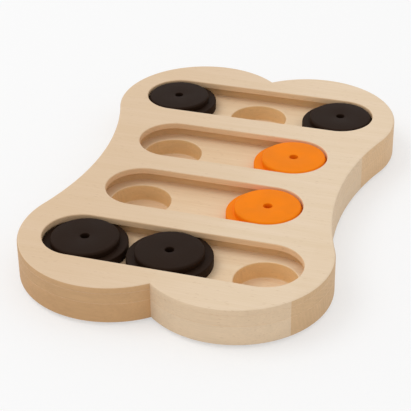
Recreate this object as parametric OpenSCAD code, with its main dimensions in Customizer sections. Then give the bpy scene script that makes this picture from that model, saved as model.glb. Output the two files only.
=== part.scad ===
// Sliding-disc treat puzzle: a glued board of three wooden layers with four
// T-shaped tracks, ten treat pockets, and six stepped discs held in the tracks.
// Millimetres. X runs along the tracks, Y along the board, Z up from the table.

/* [Board outline] */
// Length of the board from end to end
board_len = 310; // [298:1:330]
// Width of the board across its lobes
board_w = 203; // [196:1:212]
// Radius of the four round lobes
lobe_r = 61.5; // [58:0.5:66]
// Width of the board across its waist
waist_w = 169.6; // [165:0.2:178]
// Rounding of the board's outer edges
edge_r = 1.4; // [0.5:0.1:2]

/* [Plates] */
// Thickness of the top plate, the lip that holds the discs in
lip_t = 4.2; // [3:0.1:6]
// Thickness of the guide plate, which is the height of the channels
guide_t = 7.4; // [6.6:0.1:12]
// Thickness of the base, which the pockets are cut into
base_t = 14.1; // [13.2:0.1:18]

/* [Tracks] */
// Width of the slots in the top plate
slot_w = 47.2; // [44:0.1:49]
// Distance from the board's end to the centre line of its outer slots
row_inset = 53.75; // [46:0.05:60]
// From the middle of an outer slot to the centre of its round end
outer_reach = 61; // [59:0.5:64]
// From the middle of an inner slot to the centre of its round end
inner_reach = 43.5; // [36:0.5:46]
// Rounding of the slot rims
rim_r = 0.9; // [0.3:0.1:1.4]
// Play between a runner and the sides of its channel
runner_play = 0.8; // [0.4:0.1:1.2]
// Gap between a parked runner and the end of its channel
stop_gap = 0.3; // [0.1:0.1:0.4]

/* [Treat pockets] */
// Diameter of a pocket
pocket_d = 40.4; // [32:0.2:44]
// Depth of a pocket below the channel floor
pocket_depth = 12; // [8:0.1:12.8]
// Rounding between a pocket's wall and its floor
pocket_fillet = 1.5; // [0.5:0.1:4]
// Rounding of a pocket's rim
pocket_rim = 1; // [0.2:0.1:1.5]

/* [Discs] */
// Diameter of a runner, the wide lower step that runs in the channel
runner_d = 55; // [52:0.5:57]
// Play between a runner and the lip above it
runner_drop = 0.6; // [0.3:0.1:1]
// Rounding of a runner's edges
runner_edge = 0.9; // [0.3:0.1:1.5]
// Play between a cap, the upper step, and the sides of its slot
cap_play = 1.6; // [0.6:0.1:2]
// How far a cap's top lies below the board's top
cap_drop = 0.5; // [0:0.1:1.5]
// Rounding of a cap's upper edge
cap_edge = 1.6; // [0.5:0.1:2]
// Diameter of the scent hole down the middle of a disc
scent_d = 6; // [4:0.5:8]
// Bevel of the scent hole's mouths
scent_bevel = 0.5; // [0.2:0.1:1]

/* [Disc places] */
// How far the left front disc stands off the end of its track
front_left_off = 4.5; // [0:0.1:6]
// Gap between the runners of the two front discs
front_gap = 1.4; // [0.4:0.1:3]

/* [Rubber pads] */
// Diameter of the four rubber pads under the board
pad_d = 18; // [12:0.5:24]
// Thickness of a rubber pad
pad_t = 2; // [1.5:0.1:4]
// Rounding of a pad's lower edge
pad_edge = 0.6; // [0.2:0.1:1]
// Distance of a pad's centre from its lobe's centre, towards the corner
pad_offset = 26; // [0:1:36]

/* [Hidden] */
$fn = 120;

WOOD = "#e0c8a9";
DARK = "#352a22";
ORANGE = "#f1821f";
RUBBER = "#2b2b2b";

// how far a cutter runs past the face that it leaves by
past = 1;

// the outline: four lobes, and two waists cut between them. A waist and a lobe
// meet at this slight angle, which keeps their crossing a clean edge.
crease = 4;
lobe_x = board_w / 2 - lobe_r;
lobe_y = board_len / 2 - lobe_r;
waist_in = waist_w / 2 - lobe_x;
waist_r = (waist_in ^ 2 + lobe_y ^ 2 - lobe_r ^ 2) /
    (2 * (lobe_r * cos(crease) - waist_in));
waist_x = waist_w / 2 + waist_r;
// slant of the line from a waist's centre to a lobe's, on which they meet
meet_angle = atan(lobe_y / (waist_x - lobe_x));
meet_x = lobe_x + lobe_r * cos(meet_angle);
// an outer edge is rounded by an arc a little wider than the edge itself, so
// this is its radius, and how far its centre lies inside the two faces
arc_r = 1.3 * edge_r;
arc_in = (edge_r + sqrt(2 * arc_r ^ 2 - edge_r ^ 2)) / 2;

// heights of the plates' lower faces
base_z = pad_t;
guide_z = base_z + base_t;
lip_z = guide_z + guide_t;

// radii in a track, and the steps of a disc that fit it
slot_r = slot_w / 2;
runner_r = runner_d / 2;
channel_r = runner_r + runner_play;
cap_r = slot_r - cap_play;
runner_t = guide_t - runner_drop;
cap_t = lip_t + runner_drop - cap_drop;
pocket_r = pocket_d / 2;

// a parked disc lies against the end of its channel, right over a pocket
outer_stop = outer_reach + runner_play - stop_gap;
inner_stop = inner_reach + runner_play - stop_gap;

// four rows at even distances
slot_pitch = (board_len - 2 * row_inset) / 3;

// tracks from the front of the board to its back: [y, reach, pockets along x]
FRONT = [-1.5 * slot_pitch, outer_reach, [-outer_stop, 0, outer_stop]];
SECOND = [-0.5 * slot_pitch, inner_reach, [-inner_stop, inner_stop]];
THIRD = [0.5 * slot_pitch, inner_reach, [-inner_stop, inner_stop]];
BACK = [1.5 * slot_pitch, outer_reach, [-outer_stop, 0, outer_stop]];
TRACKS = [FRONT, SECOND, THIRD, BACK];

front_left_x = front_left_off - outer_stop;
front_middle_x = front_left_x + runner_d + front_gap;

pad_x = lobe_x + pad_offset * cos(45);
pad_y = lobe_y + pad_offset * sin(45);

// half the section of a disc of radius r and height h, with its lower and
// upper edge rounded by low and high
module round_edged(r, h, low, high) {
    translate([0, low]) square([r, h - low - high]);
    intersection() {
        square([r, h]);
        union() {
            if (low > 0) square([r - low, low]);
            if (low > 0) translate([r - low, low]) circle(r = low);
            if (high > 0) translate([0, h - high]) square([r - high, high]);
            if (high > 0) translate([r - high, h - high]) circle(r = high);
        }
    }
}

// half the section of a cutter of radius r through a plate of height h, which
// opens out at the plate's faces and so rounds their rims by low and high
module flared(r, h, low, high) {
    translate([0, -past]) square([r, h + 2 * past]);
    if (low > 0) difference() {
        translate([0, -past]) square([r + low, past + low]);
        translate([r + low, low]) circle(r = low);
    }
    if (high > 0) difference() {
        translate([0, h - high]) square([r + high, past + high]);
        translate([r + high, h - high]) circle(r = high);
    }
}

// the board's outline, without its openings
module outline() {
    difference() {
        union() {
            square([2 * meet_x, 2 * lobe_y], center = true);
            for (sx = [-1, 1], sy = [-1, 1])
                translate([sx * lobe_x, sy * lobe_y]) circle(r = lobe_r);
        }
        for (sx = [-1, 1])
            translate([sx * waist_x, 0]) circle(r = waist_r);
    }
}

// half the section of a ring that takes the corner off the upper edge of a
// round plate of radius r and height h
module corner_section(r, h) {
    translate([r - arc_in, h - arc_in]) difference() {
        square(arc_in + past);
        circle(r = arc_r);
    }
}

// what the rounding takes off the upper outer edge of a plate of height h
module edge_cut(h) {
    for (left = [0, 1], front = [0, 1])
        mirror([left, 0, 0]) mirror([0, front, 0]) intersection() {
            translate([lobe_x, lobe_y, 0]) rotate([0, 0, -meet_angle])
                rotate_extrude(angle = 180) corner_section(lobe_r, h);
            cube([board_w, board_len, h + 2 * past]);
        }
    for (left = [0, 1])
        mirror([left, 0, 0])
            translate([waist_x, 0, 0]) rotate([0, 0, 180 - meet_angle])
                rotate_extrude(angle = 2 * meet_angle)
                    translate([2 * waist_r, 0]) mirror([1, 0])
                        corner_section(waist_r, h);
}

// a track's opening, with round ends, through a plate of height h
module track_cut(track, r, h, high) {
    reach = track[1];
    translate([0, track[0], 0]) {
        for (sx = [-1, 1])
            translate([sx * reach, 0, 0]) rotate_extrude() flared(r, h, 0, high);
        translate([-reach, 0, 0]) rotate([90, 0, 90]) linear_extrude(2 * reach) {
            flared(r, h, 0, high);
            mirror([1, 0]) flared(r, h, 0, high);
        }
    }
}

module top_plate() {
    color(WOOD) translate([0, 0, lip_z]) difference() {
        linear_extrude(lip_t) outline();
        edge_cut(lip_t);
        for (track = TRACKS)
            track_cut(track, slot_r, lip_t, rim_r);
    }
}

module guide_plate() {
    color(WOOD) translate([0, 0, guide_z]) difference() {
        linear_extrude(guide_t) outline();
        for (track = TRACKS)
            track_cut(track, channel_r, guide_t, 0);
    }
}

// half the section of a pocket: rounded rim, straight wall, rounded floor
module pocket_section() {
    translate([0, base_t - pocket_depth]) {
        square([pocket_r - pocket_fillet, pocket_fillet]);
        translate([0, pocket_fillet])
            square([pocket_r, pocket_depth - pocket_fillet + past]);
        intersection() {
            translate([pocket_r - pocket_fillet, pocket_fillet])
                circle(r = pocket_fillet);
            square([pocket_r, pocket_fillet]);
        }
    }
    difference() {
        translate([0, base_t - pocket_rim])
            square([pocket_r + pocket_rim, pocket_rim + past]);
        translate([pocket_r + pocket_rim, base_t - pocket_rim])
            circle(r = pocket_rim);
    }
}

// one of the base's four staves, which lie side by side under the rows of discs
module base_stave(row) {
    track = TRACKS[row];
    front = row == 0 ? -board_len : (row - 2) * slot_pitch;
    back = row == 3 ? board_len : (row - 1) * slot_pitch;
    color(WOOD) translate([0, 0, base_z]) difference() {
        linear_extrude(base_t) intersection() {
            outline();
            translate([-board_w, front]) square([2 * board_w, back - front]);
        }
        translate([0, 0, base_t]) mirror([0, 0, 1]) edge_cut(base_t);
        for (x = track[2])
            translate([x, track[0], 0]) rotate_extrude() pocket_section();
    }
}

// a hole down through a step of height h, bevelled where it shows
module scent_hole(h, low, high) {
    mouth_r = scent_d / 2 + scent_bevel;
    translate([0, 0, -past]) cylinder(d = scent_d, h = h + 2 * past);
    if (low) cylinder(r1 = mouth_r, r2 = scent_d / 2, h = scent_bevel);
    if (high) translate([0, 0, h - scent_bevel])
        cylinder(r1 = scent_d / 2, r2 = mouth_r, h = scent_bevel);
}

// the wide lower step of a disc, which the lip keeps in the channel
module runner(x, track, paint) {
    color(paint) translate([x, track[0], guide_z]) difference() {
        rotate_extrude() round_edged(runner_r, runner_t, runner_edge, runner_edge);
        scent_hole(runner_t, true, false);
    }
}

// the upper step of a disc, which a nose or paw pushes along the slot
module cap(x, track, paint) {
    color(paint) translate([x, track[0], guide_z + runner_t]) difference() {
        rotate_extrude() round_edged(cap_r, cap_t, 0, cap_edge);
        scent_hole(cap_t, false, true);
    }
}

module rubber_pad(sx, sy) {
    color(RUBBER) translate([sx * pad_x, sy * pad_y, 0])
        rotate_extrude() round_edged(pad_d / 2, pad_t, pad_edge, 0);
}

top_plate();
guide_plate();
base_stave(0);  // base_front_stave
base_stave(1);  // base_second_stave
base_stave(2);  // base_third_stave
base_stave(3);  // base_back_stave
runner(front_left_x, FRONT, DARK);  // front_left_runner
cap(front_left_x, FRONT, DARK);  // front_left_cap
runner(front_middle_x, FRONT, DARK);  // front_middle_runner
cap(front_middle_x, FRONT, DARK);  // front_middle_cap
runner(inner_stop, SECOND, ORANGE);  // second_runner
cap(inner_stop, SECOND, ORANGE);  // second_cap
runner(inner_stop, THIRD, ORANGE);  // third_runner
cap(inner_stop, THIRD, ORANGE);  // third_cap
runner(-outer_stop, BACK, DARK);  // back_left_runner
cap(-outer_stop, BACK, DARK);  // back_left_cap
runner(outer_stop, BACK, DARK);  // back_right_runner
cap(outer_stop, BACK, DARK);  // back_right_cap
rubber_pad(-1, -1);  // front_left_pad
rubber_pad(1, -1);  // front_right_pad
rubber_pad(-1, 1);  // back_left_pad
rubber_pad(1, 1);  // back_right_pad
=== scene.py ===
"""A sliding-disc treat puzzle for dogs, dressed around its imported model.

The board is three wooden plates glued face to face, the lowest in four staves. Six
turned discs slide in its tracks, over round treat pockets, and four rubber pads keep it
off the floor. Each operator builds one of these, or the stage, and replaces the plain
solids with it.
"""

import math

import bmesh
import bpy
from bpy.props import FloatProperty, FloatVectorProperty, IntProperty, PointerProperty
from mathutils import Matrix, Vector


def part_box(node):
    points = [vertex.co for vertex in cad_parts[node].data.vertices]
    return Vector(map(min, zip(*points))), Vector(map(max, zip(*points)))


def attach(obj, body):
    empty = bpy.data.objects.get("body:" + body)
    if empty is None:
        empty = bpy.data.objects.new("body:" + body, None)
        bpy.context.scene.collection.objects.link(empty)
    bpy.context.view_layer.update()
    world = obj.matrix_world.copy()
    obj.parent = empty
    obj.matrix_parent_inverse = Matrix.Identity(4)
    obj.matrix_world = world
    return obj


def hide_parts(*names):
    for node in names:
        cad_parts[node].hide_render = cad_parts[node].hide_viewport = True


bl_info = {
    "name": "Sliding Disc Treat Puzzle",
    "version": (1, 0, 0),
    "blender": (4, 5, 0),
    "location": "3D View > Sidebar > Treat Puzzle",
    "description": "Builds a wooden treat board with sliding discs, and its studio",
    "category": "Add Mesh",
}

MM = 0.001
# the name of the mark on faces that a cutter has milled
MILLED = "milled"
# steps down a rounded edge, down a pocket's fillet, and along the arcs of the outlines
RIM_STEPS = 6
FILLET_STEPS = 8
LOBE_STEPS = 72
WAIST_STEPS = 24
SLOT_STEPS = 48
CIRCLE_STEPS = 96
# an edge that turns by more than this is drawn sharp
SHARP = math.radians(35)
# points nearer than this are one: where a plate is cut, and where a disc is closed
CUT_GAP = 0.0001 * MM
MERGE_GAP = 0.001 * MM
# the panel is glued up from strips along X, and each strip from blocks end to end:
# where the middle strip starts and ends, and how far its blocks and the back ones are
# set off
MIDDLE_START = -70 * MM
MIDDLE_END = 45 * MM
MIDDLE_SET = -25 * MM
BACK_SET = 100 * MM
# where the pale, middle and warm blocks of the front strip start, within a span
PALE_START = -1.3 * MM
MID_START = 85 * MM
WARM_START = 140 * MM
BLOCK_SPAN = 220 * MM
# how much of a block's tint shows on the flat faces, and how much of the tan block's
# colour is mixed into them toward the left as painted shade, over this width
BLOCK_ON_FACE = 0.07
PAINTED_SHADE_LEFT = 0.3
SHADE_SPAN = 140 * MM
# painted shade and light: what is added to the brightness of the sides at the two ends of
# that width, darker at the left and lighter at the right
SIDE_LEFT = -0.05
SIDE_RIGHT = 0.08
# how much of the difference between blocks shows on the upper plates and on the base
PLATE_CONTRAST = 0.85
BASE_CONTRAST = 1.0
# where each plate's piece of the wood pattern is taken from, in metres
TOP_SHIFT = (0.0, 0.0, 0.0)
GUIDE_SHIFT = (0.31, 0.17, 0.05)
BASE_SHIFT = (0.07, 0.43, 0.0)
# satin lacquer: orange is a little glossier than dark, and both reflect little
ORANGE_ROUGH = 0.5
DARK_ROUGH = 0.55
LACQUER_SPECULAR = 0.06
# half the side of the paper floor, and the lamp's width and place, in metres
FLOOR_HALF = 6.0
LAMP_SIZE = 2.2
LAMP_PLACE = (-1.9, -0.17, 2.86)
# width of the camera's sensor, in millimetres
SENSOR_WIDTH = 36.0
# a wave texture's phase runs through this many radians in one unit at scale 1
WAVE_PHASE = 20

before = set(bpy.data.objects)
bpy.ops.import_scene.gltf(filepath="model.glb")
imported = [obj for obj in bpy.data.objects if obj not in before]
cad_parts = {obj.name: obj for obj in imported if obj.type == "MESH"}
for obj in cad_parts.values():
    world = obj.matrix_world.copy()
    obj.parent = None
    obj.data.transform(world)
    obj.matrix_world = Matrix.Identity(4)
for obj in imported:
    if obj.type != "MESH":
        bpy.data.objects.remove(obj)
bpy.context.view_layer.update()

# tracks from the front of the board to its back, and what stands in them
DISCS = ("front_left", "front_middle", "second", "third", "back_left", "back_right")
STAVES = ("base_front_stave", "base_second_stave", "base_third_stave", "base_back_stave")
ORANGE_DISCS = ("second", "third")
PADS = ("front_left", "front_right", "back_left", "back_right")


def linear(hex_code):
    """A colour written as an sRGB hex value, as linear red, green, blue and alpha."""
    parts = [int(hex_code[i : i + 2], 16) / 255 for i in (1, 3, 5)]
    return tuple(
        p / 12.92 if p <= 0.04045 else ((p + 0.055) / 1.055) ** 2.4 for p in parts
    ) + (1.0,)


def length(name, about, default):
    """A length that a user can change, kept in metres."""
    return FloatProperty(
        name=name, description=about, default=default, unit="LENGTH", precision=5
    )


def colour(name, about, hex_code):
    """A colour that a user can change."""
    return FloatVectorProperty(
        name=name, description=about, default=linear(hex_code), size=4, subtype="COLOR"
    )


# ---------------------------------------------------------------- settings


class BoardSizes(bpy.types.PropertyGroup):
    """Sizes of the board's outline, its tracks and its treat pockets."""

    lobe_radius: length("Lobe radius", "Radius of the four round lobes", 61.5 * MM)
    waist_width: length("Waist width", "Width across the waist", 169.6 * MM)
    edge_radius: length("Edge rounding", "Rounding of the outer edges", 1.4 * MM)
    joint_ease: length("Joint ease", "Bevel of a plate along its glue line", 0.16 * MM)
    slot_width: length("Slot width", "Width of the slots in the top plate", 47.2 * MM)
    rim_radius: length("Rim rounding", "Rounding of the slot rims", 0.9 * MM)
    channel_play: length("Channel play", "Gap at the side of a runner", 0.8 * MM)
    outer_reach: length("Outer reach", "Middle to end centre, outer slots", 61.0 * MM)
    inner_reach: length("Inner reach", "Middle to end centre, inner slots", 43.5 * MM)
    pocket_width: length("Pocket width", "Diameter of a treat pocket", 40.4 * MM)
    pocket_depth: length("Pocket depth", "Depth of a treat pocket", 12.0 * MM)
    pocket_fillet: length("Pocket fillet", "Rounding at a pocket's floor", 1.5 * MM)
    pocket_rim: length("Pocket rim", "Rounding of a pocket's rim", 1.0 * MM)


class DiscSizes(bpy.types.PropertyGroup):
    """Roundings of the turned discs and the pads, whose sizes are the frame's own."""

    runner_edge: length("Runner edge", "Rounding of a runner's edges", 0.9 * MM)
    cap_edge: length("Cap edge", "Rounding of a cap's upper edge", 1.6 * MM)
    joint_edge: length("Joint edge", "Rounding where cap and runner meet", 0.15 * MM)
    hole_width: length("Hole width", "Diameter of the scent hole", 6.0 * MM)
    hole_bevel: length("Hole bevel", "Rounding of the hole's mouth", 0.5 * MM)
    pad_edge: length("Pad edge", "Rounding of a pad's lower edge", 0.6 * MM)
    segments: IntProperty(
        name="Segments", description="Steps round a disc", default=128, min=24, max=256
    )


class Finishes(bpy.types.PropertyGroup):
    """Colours of the woods, lacquers and rubber."""

    face_pale: colour("Face, pale", "Pale streaks of the flat faces", "#f0d9bd")
    face_deep: colour("Face, deep", "Deep streaks of the flat faces", "#ead2b2")
    # painted light: the base plate's flat faces, the channel floors among them, are paler
    # than the faces of the upper plates, which lifts the shade in the channels
    floor_pale: colour("Channel floor, pale", "Pale streaks in the channels", "#f9dfbd")
    floor_deep: colour("Channel floor, deep", "Deep streaks in the channels", "#f0d2ac")
    # also the colour that the flat faces turn toward at the left, as painted shade
    block_tan_and_shade: colour("Tan block", "The darkest blocks of the panel", "#cea476")
    block_pale: colour("Pale block", "The palest blocks of the panel", "#dfc6a7")
    block_mid: colour("Middle block", "The blocks between these two", "#d2b088")
    block_warm: colour("Warm block", "Pale blocks of a warmer tint", "#ddba91")
    lip: colour("Milled lip", "Slot walls of the top plate", "#e9c49a")
    channel: colour("Milled channel", "Walls of the channels", "#e1bc8c")
    pocket: colour("Milled pocket", "Walls of the treat pockets", "#eac591")
    fleck: colour("Fleck", "Short brown flecks of the wood", "#b08557")
    dark: colour("Dark lacquer", "The dark discs", "#271910")
    orange: colour("Orange lacquer", "The orange discs", "#fd870a")
    rubber: colour("Rubber", "The pads", "#2a2a2b")
    paper: colour("Paper", "The floor of the studio", "#fdfdfd")


class Studio(bpy.types.PropertyGroup):
    """The camera and the lights."""

    distance: length("Distance", "From the camera to the board", 925.0 * MM)
    azimuth: FloatProperty(
        name="Azimuth",
        description="Turn of the camera to the right of the board's front",
        default=math.radians(17.83),
        subtype="ANGLE",
    )
    elevation: FloatProperty(
        name="Elevation",
        description="Height of the camera above the horizon",
        default=math.radians(31.39),
        subtype="ANGLE",
    )
    roll: FloatProperty(
        name="Roll",
        description="Turn of the camera about its own axis",
        default=math.radians(-0.73),
        subtype="ANGLE",
    )
    aim_x: length("Aim X", "Right of the board's middle, where it looks", 5.33 * MM)
    aim_y: length("Aim Y", "Behind the board's middle, where it looks", -45.8 * MM)
    lens: FloatProperty(
        name="Lens", description="Focal length in millimetres", default=124.54, min=10
    )
    sky: FloatProperty(
        name="Sky", description="Strength of the light from all round", default=0.77
    )
    key: FloatProperty(
        name="Key", description="Power of the lamp at the upper left", default=23.5
    )


# ---------------------------------------------------------------- outlines


def arc(x, y, radius, start, end, steps):
    """Points along an arc, from its start angle to its end angle, both included."""
    turn = [start + (end - start) * i / steps for i in range(steps + 1)]
    return [(x + radius * math.cos(a), y + radius * math.sin(a)) for a in turn]


def board_outline(sizes, inset):
    """The board's outline, moved inwards by inset: four lobes, two tangent waists."""
    high = highest_corner()
    lobe_x = high.x - sizes.lobe_radius
    lobe_y = high.y - sizes.lobe_radius
    waist_in = sizes.waist_width / 2 - lobe_x
    waist_r = (waist_in**2 + lobe_y**2 - sizes.lobe_radius**2) / (
        2 * (sizes.lobe_radius - waist_in)
    )
    waist_x = sizes.waist_width / 2 + waist_r
    meet = math.atan2(lobe_y, waist_x - lobe_x)
    r = sizes.lobe_radius - inset
    notch = math.acos(-lobe_x / r)
    quarter = arc(lobe_x, lobe_y, r, notch, -meet, LOBE_STEPS)
    waist = arc(waist_x, 0, waist_r + inset, math.pi - meet, math.pi, WAIST_STEPS)
    quarter += waist[1:]
    loop = quarter + [(x, -y) for x, y in reversed(quarter)][1:]
    loop += [(-x, -y) for x, y in quarter][1:]
    loop += [(-x, y) for x, y in reversed(quarter)][1:-1]
    return loop


def highest_corner():
    """Highest corner of the box round the board's plates, which is centred on X and Y."""
    corners = [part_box(n) for n in ("top_plate", "guide_plate") + STAVES]
    return Vector([max(c[1][i] for c in corners) for i in range(3)])


def slot_outline(y, reach, radius):
    """A slot with round ends."""
    half = math.pi / 2
    right = arc(reach, y, radius, -half, half, SLOT_STEPS)
    left = arc(-reach, y, radius, half, 3 * half, SLOT_STEPS)
    return right + left


def circle(x, y, radius):
    """Points round a circle, each once."""
    return arc(x, y, radius, 0, math.tau, CIRCLE_STEPS)[:-1]


def middle(node):
    """Centre of a node's box."""
    low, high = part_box(node)
    return (low + high) / 2


def tracks(sizes):
    """Each track's place along the board, its reach, and where its pockets lie."""
    outer = middle("back_right_runner").x
    inner = middle("second_runner").x
    ends = ("front_left_runner", "second_runner", "third_runner", "back_left_runner")
    front, second, third, back = [middle(n).y for n in ends]
    return (
        (front, sizes.outer_reach, (-outer, 0, outer)),
        (second, sizes.inner_reach, (-inner, inner)),
        (third, sizes.inner_reach, (-inner, inner)),
        (back, sizes.outer_reach, (-outer, 0, outer)),
    )


def rounding(radius, z, toward):
    """Offsets and heights down a rounded edge that starts on the face at z."""
    turns = [math.pi / 2 * i / RIM_STEPS for i in range(RIM_STEPS + 1)]
    return [
        (radius * (1 - math.sin(a)), z + toward * radius * (1 - math.cos(a)))
        for a in turns
    ]


def rings_of(outline, profile):
    """Rings of points: an outline taken at each offset and height of a profile."""
    return [[(x, y, z) for x, y in outline(offset)] for offset, z in profile]


# ---------------------------------------------------------------- mesh


def add_loop(bm, rings, capped, milled):
    """Skin a stack of rings, each a list of (x, y, z), and close the last if capped.
    A milled skin is marked as such from halfway down its rounded rim, if it has one.
    Returns the edges of the first ring and, unless it is capped, of the last."""
    mark = bm.faces.layers.float[MILLED]
    made = [[bm.verts.new(p) for p in ring] for ring in rings]
    rim = RIM_STEPS // 2 if len(rings) > RIM_STEPS else 0
    for row, (upper, lower) in enumerate(zip(made, made[1:])):
        for i, corner in enumerate(upper):
            j = (i + 1) % len(upper)
            face = bm.faces.new((corner, lower[i], lower[j], upper[j]))
            face[mark] = float(milled and row >= rim)
    if capped:
        bm.faces.new(made[-1])
    ends = [made[0]] if capped else [made[0], made[-1]]
    return [
        [bm.edges.get((v, ring[(i + 1) % len(ring)])) for i, v in enumerate(ring)]
        for ring in ends
    ]


def plate_mesh(name, outer, holes, pockets):
    """A plate, as a mesh: its outer skin, the skins of its holes that go through and
    of its pockets, and the two flat faces that join them."""
    bm = bmesh.new()
    bm.faces.layers.float.new(MILLED)
    skins = [add_loop(bm, outer, False, False)]
    skins += [add_loop(bm, rings, False, True) for rings in holes]
    upper = [e for skin in skins for e in skin[0]]
    lower = [e for skin in skins for e in skin[1]]
    for rings in pockets:
        upper += add_loop(bm, rings, True, True)[0]
    for edges in (upper, lower):
        bmesh.ops.triangle_fill(bm, edges=edges, use_beauty=True)
        for edge in edges:
            edge.smooth = False
    bmesh.ops.recalc_face_normals(bm, faces=bm.faces)
    for face in bm.faces:
        face.smooth = True
    for edge in bm.edges:
        if edge.is_manifold and edge.calc_face_angle() > SHARP:
            edge.smooth = False
    mesh = bpy.data.meshes.new(name)
    bm.to_mesh(mesh)
    bm.free()
    return mesh


def sliced(name, mesh, front, back):
    """The part of a closed mesh between two planes across Y, closed again."""
    bm = bmesh.new()
    bm.from_mesh(mesh)
    for y, side in ((front, -1), (back, 1)):
        cut = bmesh.ops.bisect_plane(
            bm,
            geom=bm.verts[:] + bm.edges[:] + bm.faces[:],
            dist=CUT_GAP,
            plane_co=(0, y, 0),
            plane_no=(0, side, 0),
            clear_outer=True,
        )
        rim = [e for e in cut["geom_cut"] if isinstance(e, bmesh.types.BMEdge)]
        rim = [e for e in rim if e.is_boundary]
        if rim:
            bmesh.ops.edgeloop_fill(bm, edges=rim)
            for edge in rim:
                edge.smooth = False
    part = bpy.data.meshes.new(name)
    bm.to_mesh(part)
    bm.free()
    return part


def add_piece(name, mesh, material, body, nodes):
    """Place a finished piece, which stands for CAD nodes and rides on their body."""
    piece = bpy.data.objects.new(name, mesh)
    bpy.context.scene.collection.objects.link(piece)
    mesh.materials.clear()
    mesh.materials.append(material)
    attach(piece, body)
    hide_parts(*nodes)


# ---------------------------------------------------------------- materials


def add_node(tree, kind, inputs=None, **settings):
    """Add a node. An input's value is a number, a colour, or a (node, output) link."""
    node = tree.nodes.new(kind)
    for key, value in settings.items():
        setattr(node, key, value)
    for key, value in (inputs or {}).items():
        if isinstance(value, tuple) and isinstance(value[0], bpy.types.Node):
            tree.links.new(value[0].outputs[value[1]], node.inputs[key])
        else:
            node.inputs[key].default_value = value
    return node


def new_material(name):
    """An empty node material, and its tree."""
    material = bpy.data.materials.new(name)
    material.use_nodes = True
    material.node_tree.nodes.clear()
    return material, material.node_tree


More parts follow.
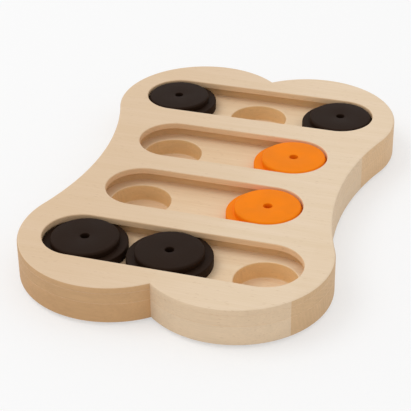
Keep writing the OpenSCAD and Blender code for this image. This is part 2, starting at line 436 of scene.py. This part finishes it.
def panel_wood(name, colours, pale, deep, wall, contrast, shift):
    """Pale beech panel, glued up from blocks end to end, planed, sanded and oiled. The
    eye gets faint streaks along the grain, short brown flecks, sides whose blocks differ
    in tint, growth rings on the end grain, and warmer walls where a cutter has been.
    Painted shade darkens the faces toward the left, and painted shade and light make
    the sides darker at the left and lighter at the right."""
    material, tree = new_material(name)
    place = add_node(tree, "ShaderNodeTexCoord")
    moved = add_node(
        tree, "ShaderNodeMapping", {"Vector": (place, "Object"), "Location": shift}
    )

    def stretched(along, across):
        """Coordinates in which one unit is along millimetres in X, across elsewhere."""
        scale = (1 / (along * MM), 1 / (across * MM), 1 / (across * MM))
        return add_node(
            tree, "ShaderNodeMapping", {"Vector": (moved, 0), "Scale": scale}
        )

    # growth bands 6 mm wide and 150 mm long, and fibres 0.8 mm wide
    bands = add_node(
        tree,
        "ShaderNodeTexNoise",
        {"Vector": (stretched(150, 6), 0), "Scale": 1.0, "Detail": 3.0, "Distortion": 0.4},
    )
    fibres = add_node(
        tree,
        "ShaderNodeTexNoise",
        {"Vector": (stretched(26, 0.8), 0), "Scale": 1.0, "Detail": 2.0},
    )
    streaks = add_node(
        tree, "ShaderNodeMath", {0: (bands, 0), 1: (fibres, 0)}, operation="ADD"
    )
    tone = add_node(
        tree,
        "ShaderNodeMapRange",
        {"Value": (streaks, 0), 1: 0.7, 2: 1.3, 3: 0.0, 4: 1.0},
    )
    # flecks about 2.6 mm long and 0.6 mm wide, clear in about one cell of five
    cells = add_node(
        tree, "ShaderNodeTexVoronoi", {"Vector": (stretched(5.2, 1.2), 0), "Scale": 1.0}
    )
    flecks = add_node(
        tree,
        "ShaderNodeMapRange",
        {"Value": (cells, "Distance"), 1: 0.32, 2: 0.18, 3: 0.0, 4: 1.0},
        interpolation_type="SMOOTHSTEP",
    )
    rare = add_node(
        tree,
        "ShaderNodeMapRange",
        {"Value": (cells, "Color"), 1: 0.6, 2: 0.8, 3: 0.0, 4: 0.22},
    )
    fleck_mask = add_node(
        tree, "ShaderNodeMath", {0: (flecks, 0), 1: (rare, 0)}, operation="MULTIPLY"
    )

    # blocks end to end; the middle strip of the panel and the back one are set off in X
    spot = add_node(tree, "ShaderNodeSeparateXYZ", {0: (place, "Object")})
    in_front = add_node(
        tree, "ShaderNodeMath", {0: (spot, 1), 1: MIDDLE_START}, operation="LESS_THAN"
    )
    in_back = add_node(
        tree, "ShaderNodeMath", {0: (spot, 1), 1: MIDDLE_END}, operation="GREATER_THAN"
    )
    offset = add_node(
        tree,
        "ShaderNodeMath",
        {0: (in_front, 0), 1: -MIDDLE_SET, 2: MIDDLE_SET},
        operation="MULTIPLY_ADD",
    )
    offset = add_node(
        tree,
        "ShaderNodeMath",
        {0: (in_back, 0), 1: BACK_SET - MIDDLE_SET, 2: (offset, 0)},
        operation="MULTIPLY_ADD",
    )
    shifted = add_node(
        tree, "ShaderNodeMath", {0: (spot, 0), 1: (offset, 0)}, operation="ADD"
    )
    along = add_node(
        tree,
        "ShaderNodeMapRange",
        {"Value": (shifted, 0), 1: -BLOCK_SPAN, 2: BLOCK_SPAN, 3: 0.0, 4: 1.0},
    )
    blocks = add_node(tree, "ShaderNodeValToRGB", {"Fac": (along, 0)})
    ramp = blocks.color_ramp
    ramp.interpolation = "CONSTANT"
    ramp.elements.remove(ramp.elements[1])
    ramp.elements[0].color = colours.block_tan_and_shade
    starts = (
        (PALE_START, colours.block_pale),
        (MID_START, colours.block_mid),
        (WARM_START, colours.block_warm),
    )
    for start, tint in starts:
        ramp.elements.new((start / BLOCK_SPAN + 1) / 2).color = tint
    blocks = add_node(
        tree,
        "ShaderNodeMix",
        {0: contrast, 6: colours.block_mid, 7: (blocks, 0)},
        data_type="RGBA",
    )

    # growth rings 2.6 mm apart on the end grain, round a heart 45 mm below
    heart = add_node(
        tree,
        "ShaderNodeMapping",
        {"Vector": (moved, 0), "Location": (0.0, 0.0, 45 * MM)},
    )
    rings = add_node(
        tree,
        "ShaderNodeTexWave",
        {
            "Vector": (heart, 0),
            "Scale": math.tau / WAVE_PHASE / (2.6 * MM),
            "Distortion": 2.0,
            "Detail": 2.0,
        },
        wave_type="RINGS",
        rings_direction="X",
    )
    facing = add_node(tree, "ShaderNodeSeparateXYZ", {0: (place, "Normal")})
    across_grain = add_node(
        tree, "ShaderNodeMath", {0: (facing, 0)}, operation="ABSOLUTE"
    )
    end_mask = add_node(
        tree,
        "ShaderNodeMapRange",
        {"Value": (across_grain, 0), 1: 0.6, 2: 0.95, 3: 0.0, 4: 0.05},
        interpolation_type="SMOOTHSTEP",
    )
    end_shade = add_node(
        tree, "ShaderNodeMath", {0: (rings, 1), 1: (end_mask, 0)}, operation="MULTIPLY"
    )
    side_tone_and_painted_light = add_node(
        tree,
        "ShaderNodeMapRange",
        {"Value": (tone, 0), 1: 0.0, 2: 1.0, 3: 1.02, 4: 0.92},
    )
    side_tone_and_painted_light = add_node(
        tree,
        "ShaderNodeMath",
        {0: (side_tone_and_painted_light, 0), 1: (end_shade, 0)},
        operation="SUBTRACT",
    )
    # painted shade and light: the sides darken toward the left and lighten toward the
    # right
    painted_light_right = add_node(
        tree,
        "ShaderNodeMapRange",
        {
            "Value": (spot, 0),
            1: -SHADE_SPAN / 2,
            2: SHADE_SPAN / 2,
            3: SIDE_LEFT,
            4: SIDE_RIGHT,
        },
        interpolation_type="SMOOTHSTEP",
    )
    side_tone_and_painted_light = add_node(
        tree,
        "ShaderNodeMath",
        {0: (side_tone_and_painted_light, 0), 1: (painted_light_right, 0)},
        operation="ADD",
    )

    # the outer side takes its block's tint, and a milled wall its own
    mark = add_node(tree, "ShaderNodeAttribute", attribute_name=MILLED)
    side = add_node(
        tree,
        "ShaderNodeMix",
        {0: (mark, "Fac"), 6: (blocks, 2), 7: wall},
        data_type="RGBA",
    )
    side = add_node(
        tree, "ShaderNodeVectorMath", {0: (side, 2), 3: (side_tone_and_painted_light, 0)}, operation="SCALE"
    )
    face = add_node(
        tree,
        "ShaderNodeMix",
        {0: (tone, 0), 6: pale, 7: deep},
        data_type="RGBA",
    )
    face = add_node(
        tree,
        "ShaderNodeMix",
        {0: BLOCK_ON_FACE, 6: (face, 2), 7: (blocks, 2)},
        data_type="RGBA",
    )
    # painted shade: the flat faces turn toward the tan block's colour at the left, darker
    # there
    left = add_node(
        tree,
        "ShaderNodeMapRange",
        {
            "Value": (spot, 0),
            1: -SHADE_SPAN / 2,
            2: SHADE_SPAN / 2,
            3: PAINTED_SHADE_LEFT,
            4: 0.0,
        },
        interpolation_type="SMOOTHSTEP",
    )
    face = add_node(
        tree,
        "ShaderNodeMix",
        {0: (left, 0), 6: (face, 2), 7: colours.block_tan_and_shade},
        data_type="RGBA",
    )
    upward = add_node(tree, "ShaderNodeMath", {0: (facing, 2)}, operation="ABSOLUTE")
    face_mask = add_node(
        tree,
        "ShaderNodeMapRange",
        {"Value": (upward, 0), 1: 0.6, 2: 0.8, 3: 0.0, 4: 1.0},
        interpolation_type="SMOOTHSTEP",
    )
    wood = add_node(
        tree,
        "ShaderNodeMix",
        {0: (face_mask, 0), 6: (side, 0), 7: (face, 2)},
        data_type="RGBA",
    )
    wood = add_node(
        tree,
        "ShaderNodeMix",
        {0: (fleck_mask, 0), 6: (wood, 2), 7: colours.fleck},
        data_type="RGBA",
    )
    rough = add_node(
        tree,
        "ShaderNodeMapRange",
        {"Value": (fibres, 0), 1: 0.3, 2: 0.7, 3: 0.5, 4: 0.64},
    )
    relief = add_node(
        tree,
        "ShaderNodeBump",
        {"Height": (fibres, 0), "Strength": 0.4, "Distance": 0.03 * MM},
    )
    shader = add_node(
        tree,
        "ShaderNodeBsdfPrincipled",
        {
            "Base Color": (wood, 2),
            "Roughness": (rough, 0),
            "Normal": (relief, 0),
            "IOR": 1.48,
            "Specular IOR Level": 0.25,
        },
    )
    add_node(tree, "ShaderNodeOutputMaterial", {"Surface": (shader, 0)})
    return material


def lacquered_disc(name, paint, centre, roughness):
    """Turned wood sprayed with satin lacquer. The eye gets a flat even colour, a soft
    sheen, faint rings from turning, and a fine ripple where the spray dried."""
    material, tree = new_material(name)
    place = add_node(tree, "ShaderNodeTexCoord")
    centred = add_node(
        tree,
        "ShaderNodeMapping",
        {"Vector": (place, "Object"), "Location": (-centre.x, -centre.y, 0.0)},
    )
    # turning marks 0.9 mm apart, coarser than real ones so that they show
    rings = add_node(
        tree,
        "ShaderNodeTexWave",
        {
            "Vector": (centred, 0),
            "Scale": math.tau / WAVE_PHASE / (0.9 * MM),
            "Distortion": 0.6,
        },
        wave_type="RINGS",
        rings_direction="Z",
    )
    # ripple of the spray, 1.6 mm across
    ripple = add_node(
        tree,
        "ShaderNodeTexNoise",
        {"Vector": (place, "Object"), "Scale": 1 / (1.6 * MM), "Detail": 2.0},
    )
    cloud = add_node(
        tree,
        "ShaderNodeTexNoise",
        {"Vector": (place, "Object"), "Scale": 1 / (18 * MM), "Detail": 2.0},
    )
    height = add_node(
        tree,
        "ShaderNodeMath",
        {0: (rings, 1), 1: 0.25, 2: (ripple, 0)},
        operation="MULTIPLY_ADD",
    )
    relief = add_node(
        tree,
        "ShaderNodeBump",
        {"Height": (height, 0), "Strength": 0.4, "Distance": 0.02 * MM},
    )
    shade = add_node(
        tree,
        "ShaderNodeMapRange",
        {"Value": (cloud, 0), 1: 0.3, 2: 0.7, 3: 0.94, 4: 1.04},
    )
    tint = add_node(
        tree,
        "ShaderNodeVectorMath",
        {0: paint[:3], 3: (shade, 0)},
        operation="SCALE",
    )
    rough = add_node(
        tree,
        "ShaderNodeMapRange",
        {"Value": (cloud, 0), 1: 0.3, 2: 0.7, 3: roughness - 0.04, 4: roughness + 0.05},
    )
    shader = add_node(
        tree,
        "ShaderNodeBsdfPrincipled",
        {
            "Base Color": (tint, 0),
            "Roughness": (rough, 0),
            "Normal": (relief, 0),
            "Specular IOR Level": LACQUER_SPECULAR,
        },
    )
    add_node(tree, "ShaderNodeOutputMaterial", {"Surface": (shader, 0)})
    return material


def moulded_rubber(name, base):
    """Moulded rubber: near black and matt, with a fine pebble from the mould."""
    material, tree = new_material(name)
    place = add_node(tree, "ShaderNodeTexCoord")
    # pebble of the mould, 0.5 mm across
    pebble = add_node(
        tree,
        "ShaderNodeTexNoise",
        {"Vector": (place, "Object"), "Scale": 1 / (0.5 * MM), "Detail": 2.0},
    )
    relief = add_node(
        tree,
        "ShaderNodeBump",
        {"Height": (pebble, 0), "Strength": 0.6, "Distance": 0.05 * MM},
    )
    shade = add_node(
        tree,
        "ShaderNodeMapRange",
        {"Value": (pebble, 0), 1: 0.3, 2: 0.7, 3: 0.85, 4: 1.15},
    )
    tint = add_node(
        tree, "ShaderNodeVectorMath", {0: base[:3], 3: (shade, 0)}, operation="SCALE"
    )
    shader = add_node(
        tree,
        "ShaderNodeBsdfPrincipled",
        {
            "Base Color": (tint, 0),
            "Roughness": 0.75,
            "IOR": 1.52,
            "Normal": (relief, 0),
        },
    )
    add_node(tree, "ShaderNodeOutputMaterial", {"Surface": (shader, 0)})
    return material


def studio_paper(name, base):
    """Matt seamless paper: even and nearly white, with no texture to see. To the camera
    it is half lit from within, so that it looks white and its shadows stay faint."""
    material, tree = new_material(name)
    paper = add_node(
        tree,
        "ShaderNodeBsdfPrincipled",
        {"Base Color": base, "Roughness": 0.9, "Specular IOR Level": 0.1},
    )
    white = add_node(tree, "ShaderNodeEmission", {"Strength": 1.0})
    path = add_node(tree, "ShaderNodeLightPath")
    seen = add_node(
        tree,
        "ShaderNodeMath",
        {0: (path, "Is Camera Ray"), 1: 0.5},
        operation="MULTIPLY",
    )
    shown = add_node(
        tree, "ShaderNodeMixShader", {0: (seen, 0), 1: (paper, 0), 2: (white, 0)}
    )
    add_node(tree, "ShaderNodeOutputMaterial", {"Surface": (shown, 0)})
    return material


# ---------------------------------------------------------------- turned steps


def turned_step_tree():
    """Geometry nodes that turn a flat ring with rounded edges: a profile with four
    corners, each with its own rounding, swept round a circle."""
    tree = bpy.data.node_groups.new("turned_step", "GeometryNodeTree")
    sockets = (
        ("Radius", "NodeSocketFloat"),
        ("Height", "NodeSocketFloat"),
        ("Hole Radius", "NodeSocketFloat"),
        ("Lower Edge", "NodeSocketFloat"),
        ("Upper Edge", "NodeSocketFloat"),
        ("Lower Bevel", "NodeSocketFloat"),
        ("Upper Bevel", "NodeSocketFloat"),
        ("Place", "NodeSocketVector"),
        ("Segments", "NodeSocketInt"),
        ("Material", "NodeSocketMaterial"),
    )
    for label, kind in sockets:
        tree.interface.new_socket(label, in_out="INPUT", socket_type=kind)
    tree.interface.new_socket(
        "Geometry", in_out="OUTPUT", socket_type="NodeSocketGeometry"
    )
    given = add_node(tree, "NodeGroupInput")
    path_r = add_node(
        tree, "ShaderNodeMath", {0: (given, "Radius"), 1: 0.5}, operation="MULTIPLY"
    )
    rim = add_node(
        tree,
        "ShaderNodeMath",
        {0: (given, "Radius"), 1: (path_r, 0)},
        operation="SUBTRACT",
    )
    bore = add_node(
        tree,
        "ShaderNodeMath",
        {0: (given, "Hole Radius"), 1: (path_r, 0)},
        operation="SUBTRACT",
    )
    # a profile's Y axis points down once it is swept round a circle
    top = add_node(
        tree, "ShaderNodeMath", {0: (given, "Height"), 1: -1.0}, operation="MULTIPLY"
    )
    corners = [
        add_node(tree, "ShaderNodeCombineXYZ", {0: (bore, 0)}),
        add_node(tree, "ShaderNodeCombineXYZ", {0: (rim, 0)}),
        add_node(tree, "ShaderNodeCombineXYZ", {0: (rim, 0), 1: (top, 0)}),
        add_node(tree, "ShaderNodeCombineXYZ", {0: (bore, 0), 1: (top, 0)}),
    ]
    section = add_node(
        tree,
        "GeometryNodeCurvePrimitiveQuadrilateral",
        {f"Point {i + 1}": (corner, 0) for i, corner in enumerate(corners)},
        mode="POINTS",
    )
    index = add_node(tree, "GeometryNodeInputIndex")
    radius = add_node(
        tree, "GeometryNodeIndexSwitch", {"Index": (index, 0)}, data_type="FLOAT"
    )
    radius.index_switch_items.new()
    radius.index_switch_items.new()
    edges = ("Lower Bevel", "Lower Edge", "Upper Edge", "Upper Bevel")
    for i, label in enumerate(edges):
        tree.links.new(given.outputs[label], radius.inputs[i + 1])
    rounded = add_node(
        tree,
        "GeometryNodeFilletCurve",
        {"Curve": (section, 0), "Count": RIM_STEPS, "Radius": (radius, 0)},
        mode="POLY",
    )
    path = add_node(
        tree,
        "GeometryNodeCurvePrimitiveCircle",
        {"Resolution": (given, "Segments"), "Radius": (path_r, 0)},
        mode="RADIUS",
    )
    path = add_node(
        tree, "GeometryNodeSetCurveNormal", {"Curve": (path, 0)}, mode="Z_UP"
    )
    swept = add_node(
        tree,
        "GeometryNodeCurveToMesh",
        {"Curve": (path, 0), "Profile Curve": (rounded, 0)},
    )
    merged = add_node(
        tree,
        "GeometryNodeMergeByDistance",
        {"Geometry": (swept, 0), "Distance": MERGE_GAP},
    )
    placed = add_node(
        tree,
        "GeometryNodeTransform",
        {"Geometry": (merged, 0), "Translation": (given, "Place")},
    )
    real = add_node(tree, "GeometryNodeRealizeInstances", {"Geometry": (placed, 0)})
    painted = add_node(
        tree,
        "GeometryNodeSetMaterial",
        {"Geometry": (real, 0), "Material": (given, "Material")},
    )
    add_node(tree, "NodeGroupOutput", {"Geometry": (painted, 0)})
    return tree


def turned_mesh(name, tree, values):
    """Run a tree with the given inputs and keep what it makes as a plain mesh."""
    empty = bpy.data.meshes.new(name)
    maker = bpy.data.objects.new(name, empty)
    bpy.context.scene.collection.objects.link(maker)
    modifier = maker.modifiers.new("turned_step", "NODES")
    modifier.node_group = tree
    for item in tree.interface.items_tree:
        if item.in_out == "INPUT":
            modifier[item.identifier] = values[item.name]
    shape = maker.evaluated_get(bpy.context.evaluated_depsgraph_get())
    mesh = bpy.data.meshes.new_from_object(shape)
    mesh.name = name
    maker.modifiers.clear()
    bpy.data.objects.remove(maker)
    bpy.data.meshes.remove(empty)
    bm = bmesh.new()
    bm.from_mesh(mesh)
    bmesh.ops.recalc_face_normals(bm, faces=bm.faces)
    for face in bm.faces:
        face.smooth = True
    for edge in bm.edges:
        edge.smooth = edge.calc_face_angle() < SHARP
    bm.to_mesh(mesh)
    bm.free()
    if not mesh.polygons:
        raise RuntimeError(f"{name} came out empty")
    return mesh


# ---------------------------------------------------------------- operators


class PUZZLE_OT_top_plate(bpy.types.Operator):
    """Build the top plate, whose lips hold the discs in their channels"""

    bl_idname = "treat_puzzle.top_plate"
    bl_label = "Top Plate"

    def execute(self, context):
        sizes = context.scene.treat_board
        colours = context.scene.treat_finishes
        low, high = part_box("top_plate")
        ease = sizes.joint_ease
        edge = rounding(sizes.edge_radius, high.z, -1)
        edge += [(0, low.z + ease), (ease, low.z)]
        outer = rings_of(lambda inset: board_outline(sizes, inset), edge)
        rim = rounding(sizes.rim_radius, high.z, -1) + [(0, low.z)]
        holes = []
        for y, reach, _ in tracks(sizes):
            radius = sizes.slot_width / 2
            holes.append(
                rings_of(
                    lambda grow, y=y, reach=reach: slot_outline(y, reach, radius + grow),
                    rim,
                )
            )
        wood = panel_wood(
            "beech_sanded_top",
            colours,
            colours.face_pale,
            colours.face_deep,
            colours.lip,
            PLATE_CONTRAST,
            TOP_SHIFT,
        )
        mesh = plate_mesh("top_plate_wood", outer, holes, [])
        add_piece("top_plate_wood", mesh, wood, "board", ["top_plate"])
        return {"FINISHED"}


class PUZZLE_OT_guide_plate(bpy.types.Operator):
    """Build the guide plate, which holds the channels that the discs slide in"""

    bl_idname = "treat_puzzle.guide_plate"
    bl_label = "Guide Plate"

    def execute(self, context):
        sizes = context.scene.treat_board
        colours = context.scene.treat_finishes
        low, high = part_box("guide_plate")
        ease = sizes.joint_ease
        edge = [(ease, high.z), (0, high.z - ease), (0, low.z + ease), (ease, low.z)]
        outer = rings_of(lambda inset: board_outline(sizes, inset), edge)
        runner_low, runner_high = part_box("second_runner")
        radius = (runner_high.x - runner_low.x) / 2 + sizes.channel_play
        holes = []
        for y, reach, _ in tracks(sizes):
            outline = slot_outline(y, reach, radius)
            holes.append([[(x, y, z) for x, y in outline] for z in (high.z, low.z)])
        wood = panel_wood(
            "beech_sanded_guide",
            colours,
            colours.face_pale,
            colours.face_deep,
            colours.channel,
            PLATE_CONTRAST,
            GUIDE_SHIFT,
        )
        mesh = plate_mesh("guide_plate_wood", outer, holes, [])
        add_piece("guide_plate_wood", mesh, wood, "board", ["guide_plate"])
        return {"FINISHED"}


class PUZZLE_OT_base_plate(bpy.types.Operator):
    """Build the base plate, with its round treat pockets"""

    bl_idname = "treat_puzzle.base_plate"
    bl_label = "Base Plate"

    def execute(self, context):
        sizes = context.scene.treat_board
        colours = context.scene.treat_finishes
        low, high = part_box("base_front_stave")
        ease = sizes.joint_ease
        edge = [(ease, high.z), (0, high.z - ease)]
        edge += rounding(sizes.edge_radius, low.z, 1)[::-1]
        outer = rings_of(lambda inset: board_outline(sizes, inset), edge)
        floor = high.z - sizes.pocket_depth
        fillet = sizes.pocket_fillet
        wall = rounding(sizes.pocket_rim, high.z, -1)
        turns = [math.pi / 2 * i / FILLET_STEPS for i in range(FILLET_STEPS + 1)]
        wall += [
            (-fillet * (1 - math.cos(a)), floor + fillet * (1 - math.sin(a)))
            for a in turns
        ]
        radius = sizes.pocket_width / 2
        pockets = []
        for y, _, places in tracks(sizes):
            for x in places:
                pockets.append(
                    rings_of(lambda grow, x=x, y=y: circle(x, y, radius + grow), wall)
                )
        # its flat faces take the paler floor colours, painted light that lifts the shade
        # in the channels
        wood = panel_wood(
            "beech_sanded_base",
            colours,
            colours.floor_pale,
            colours.floor_deep,
            colours.pocket,
            BASE_CONTRAST,
            BASE_SHIFT,
        )
        mesh = plate_mesh("base_wood", outer, [], pockets)
        for stave in STAVES:
            front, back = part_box(stave)
            part = sliced(f"{stave}_wood", mesh, front.y, back.y)
            add_piece(f"{stave}_wood", part, wood, "board", [stave])
        bpy.data.meshes.remove(mesh)
        return {"FINISHED"}


class PUZZLE_OT_discs(bpy.types.Operator):
    """Turn the six discs, each a wide runner with a narrower cap glued on it"""

    bl_idname = "treat_puzzle.discs"
    bl_label = "Discs"

    def execute(self, context):
        sizes = context.scene.treat_discs
        colours = context.scene.treat_finishes
        tree = turned_step_tree()
        for disc in DISCS:
            bright = disc in ORANGE_DISCS
            paint = colours.orange if bright else colours.dark
            lacquer = lacquered_disc(
                f"satin_lacquer_{disc}",
                paint,
                middle(f"{disc}_runner"),
                ORANGE_ROUGH if bright else DARK_ROUGH,
            )
            steps = (
                ("runner", sizes.runner_edge, sizes.runner_edge, sizes.hole_bevel, 0.0),
                ("cap", sizes.joint_edge, sizes.cap_edge, 0.0, sizes.hole_bevel),
            )
            for step, lower_edge, upper_edge, lower_bevel, upper_bevel in steps:
                node = f"{disc}_{step}"
                low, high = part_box(node)
                values = {
                    "Radius": (high.x - low.x) / 2,
                    "Height": high.z - low.z,
                    "Hole Radius": sizes.hole_width / 2,
                    "Lower Edge": lower_edge,
                    "Upper Edge": upper_edge,
                    "Lower Bevel": lower_bevel,
                    "Upper Bevel": upper_bevel,
                    "Place": ((low.x + high.x) / 2, (low.y + high.y) / 2, low.z),
                    "Segments": sizes.segments,
                    "Material": lacquer,
                }
                mesh = turned_mesh(f"{node}_turned", tree, values)
                body = f"{disc}_disc"
                add_piece(f"{node}_turned", mesh, lacquer, body, [node])
        return {"FINISHED"}


class PUZZLE_OT_pads(bpy.types.Operator):
    """Mould the four rubber pads under the board"""

    bl_idname = "treat_puzzle.pads"
    bl_label = "Pads"

    def execute(self, context):
        sizes = context.scene.treat_discs
        rubber = moulded_rubber("rubber_moulded", context.scene.treat_finishes.rubber)
        for pad in PADS:
            node = f"{pad}_pad"
            low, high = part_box(node)
            spot = middle(node)
            radius = (high.x - low.x) / 2
            profile = [(0, high.z)] + rounding(sizes.pad_edge, low.z, 1)[::-1]
            rings = rings_of(
                lambda inset, c=spot, r=radius: circle(c.x, c.y, r - inset), profile
            )
            mesh = plate_mesh(f"{node}_rubber", rings, [], [])
            add_piece(f"{node}_rubber", mesh, rubber, "board", [node])
        return {"FINISHED"}


class PUZZLE_OT_stage(bpy.types.Operator):
    """Lay the paper floor, and place the lights and the camera"""

    bl_idname = "treat_puzzle.stage"
    bl_label = "Stage"

    def execute(self, context):
        scene = context.scene
        studio = scene.treat_studio
        lay_floor(scene.treat_finishes)
        light_studio(scene, studio)
        place_camera(scene, studio)
        return {"FINISHED"}


def lay_floor(colours):
    """A wide sheet of paper that the board stands on."""
    mesh = bpy.data.meshes.new("floor")
    signs = ((-1, -1), (1, -1), (1, 1), (-1, 1))
    corners = [(x * FLOOR_HALF, y * FLOOR_HALF, 0) for x, y in signs]
    mesh.from_pydata(corners, [], [(0, 1, 2, 3)])
    mesh.materials.append(studio_paper("paper_seamless", colours.paper))
    floor = bpy.data.objects.new("floor", mesh)
    bpy.context.scene.collection.objects.link(floor)


def light_studio(scene, studio):
    """Even light from all round, white to the eye, and a soft lamp at the upper left."""
    world = bpy.data.worlds.new("studio")
    scene.world = world
    world.use_nodes = True
    tree = world.node_tree
    tree.nodes.clear()
    path = add_node(tree, "ShaderNodeLightPath")
    seen = add_node(
        tree,
        "ShaderNodeMath",
        {0: (path, "Is Camera Ray"), 1: (path, "Is Glossy Ray")},
        operation="MAXIMUM",
    )
    seen = add_node(
        tree,
        "ShaderNodeMath",
        {0: (seen, 0), 1: (path, "Is Transmission Ray")},
        operation="MAXIMUM",
    )
    strength = add_node(
        tree,
        "ShaderNodeMapRange",
        {"Value": (seen, 0), 1: 0.0, 2: 1.0, 3: studio.sky, 4: 1.0},
    )
    sky = add_node(
        tree,
        "ShaderNodeBackground",
        {"Color": (1.0, 1.0, 1.0, 1.0), "Strength": (strength, 0)},
    )
    add_node(tree, "ShaderNodeOutputWorld", {"Surface": (sky, 0)})

    lamp = bpy.data.lights.new("key", "AREA")
    lamp.shape = "DISK"
    lamp.size = LAMP_SIZE
    lamp.energy = studio.key
    key = bpy.data.objects.new("key", lamp)
    scene.collection.objects.link(key)
    key.location = LAMP_PLACE
    aim = Vector((0, 0, 0)) - key.location
    key.rotation_euler = aim.to_track_quat("-Z", "Y").to_euler()


def place_camera(scene, studio):
    """A long lens in front of the board, a little to its right and well above it."""
    aim = Vector((studio.aim_x, studio.aim_y, highest_corner().z))
    flat = math.cos(studio.elevation)
    back = Vector(
        (
            flat * math.sin(studio.azimuth),
            -flat * math.cos(studio.azimuth),
            math.sin(studio.elevation),
        )
    )
    right = Vector((0, 0, 1)).cross(back).normalized()
    up = back.cross(right)
    turn = Matrix((right, up, back)).transposed()
    turn = turn @ Matrix.Rotation(studio.roll, 3, "Z")
    lens = bpy.data.cameras.new("camera")
    lens.sensor_fit = "HORIZONTAL"
    lens.sensor_width = SENSOR_WIDTH
    lens.lens = studio.lens
    lens.clip_start = 0.01
    camera = bpy.data.objects.new("camera", lens)
    scene.collection.objects.link(camera)
    camera.matrix_world = Matrix.Translation(aim + back * studio.distance) @ turn.to_4x4()
    scene.camera = camera
    scene.view_settings.view_transform = "Standard"


class PUZZLE_PT_panel(bpy.types.Panel):
    """The settings and the operators, in the order in which they run"""

    bl_idname = "PUZZLE_PT_panel"
    bl_label = "Treat Puzzle"
    bl_space_type = "VIEW_3D"
    bl_region_type = "UI"
    bl_category = "Treat Puzzle"

    def draw(self, context):
        column = self.layout.column()
        for operator in OPERATORS:
            column.operator(operator.bl_idname)
        for group in GROUPS:
            settings = getattr(context.scene, group)
            box = self.layout.box()
            for name in settings.__annotations__:
                box.prop(settings, name)


GROUPS = {
    "treat_board": BoardSizes,
    "treat_discs": DiscSizes,
    "treat_finishes": Finishes,
    "treat_studio": Studio,
}
OPERATORS = (
    PUZZLE_OT_top_plate,
    PUZZLE_OT_guide_plate,
    PUZZLE_OT_base_plate,
    PUZZLE_OT_discs,
    PUZZLE_OT_pads,
    PUZZLE_OT_stage,
)
CLASSES = tuple(GROUPS.values()) + OPERATORS + (PUZZLE_PT_panel,)


def register():
    """Make the settings, the operators and the panel known to Blender."""
    for cls in CLASSES:
        bpy.utils.register_class(cls)
    for name, group in GROUPS.items():
        setattr(bpy.types.Scene, name, PointerProperty(type=group))


def unregister():
    """Take them away again."""
    for name in GROUPS:
        delattr(bpy.types.Scene, name)
    for cls in reversed(CLASSES):
        bpy.utils.unregister_class(cls)


def main():
    """Build the whole object and its stage."""
    register()
    bpy.ops.treat_puzzle.top_plate()
    bpy.ops.treat_puzzle.guide_plate()
    bpy.ops.treat_puzzle.base_plate()
    bpy.ops.treat_puzzle.discs()
    bpy.ops.treat_puzzle.pads()
    bpy.ops.treat_puzzle.stage()


if __name__ == "__main__":
    main()
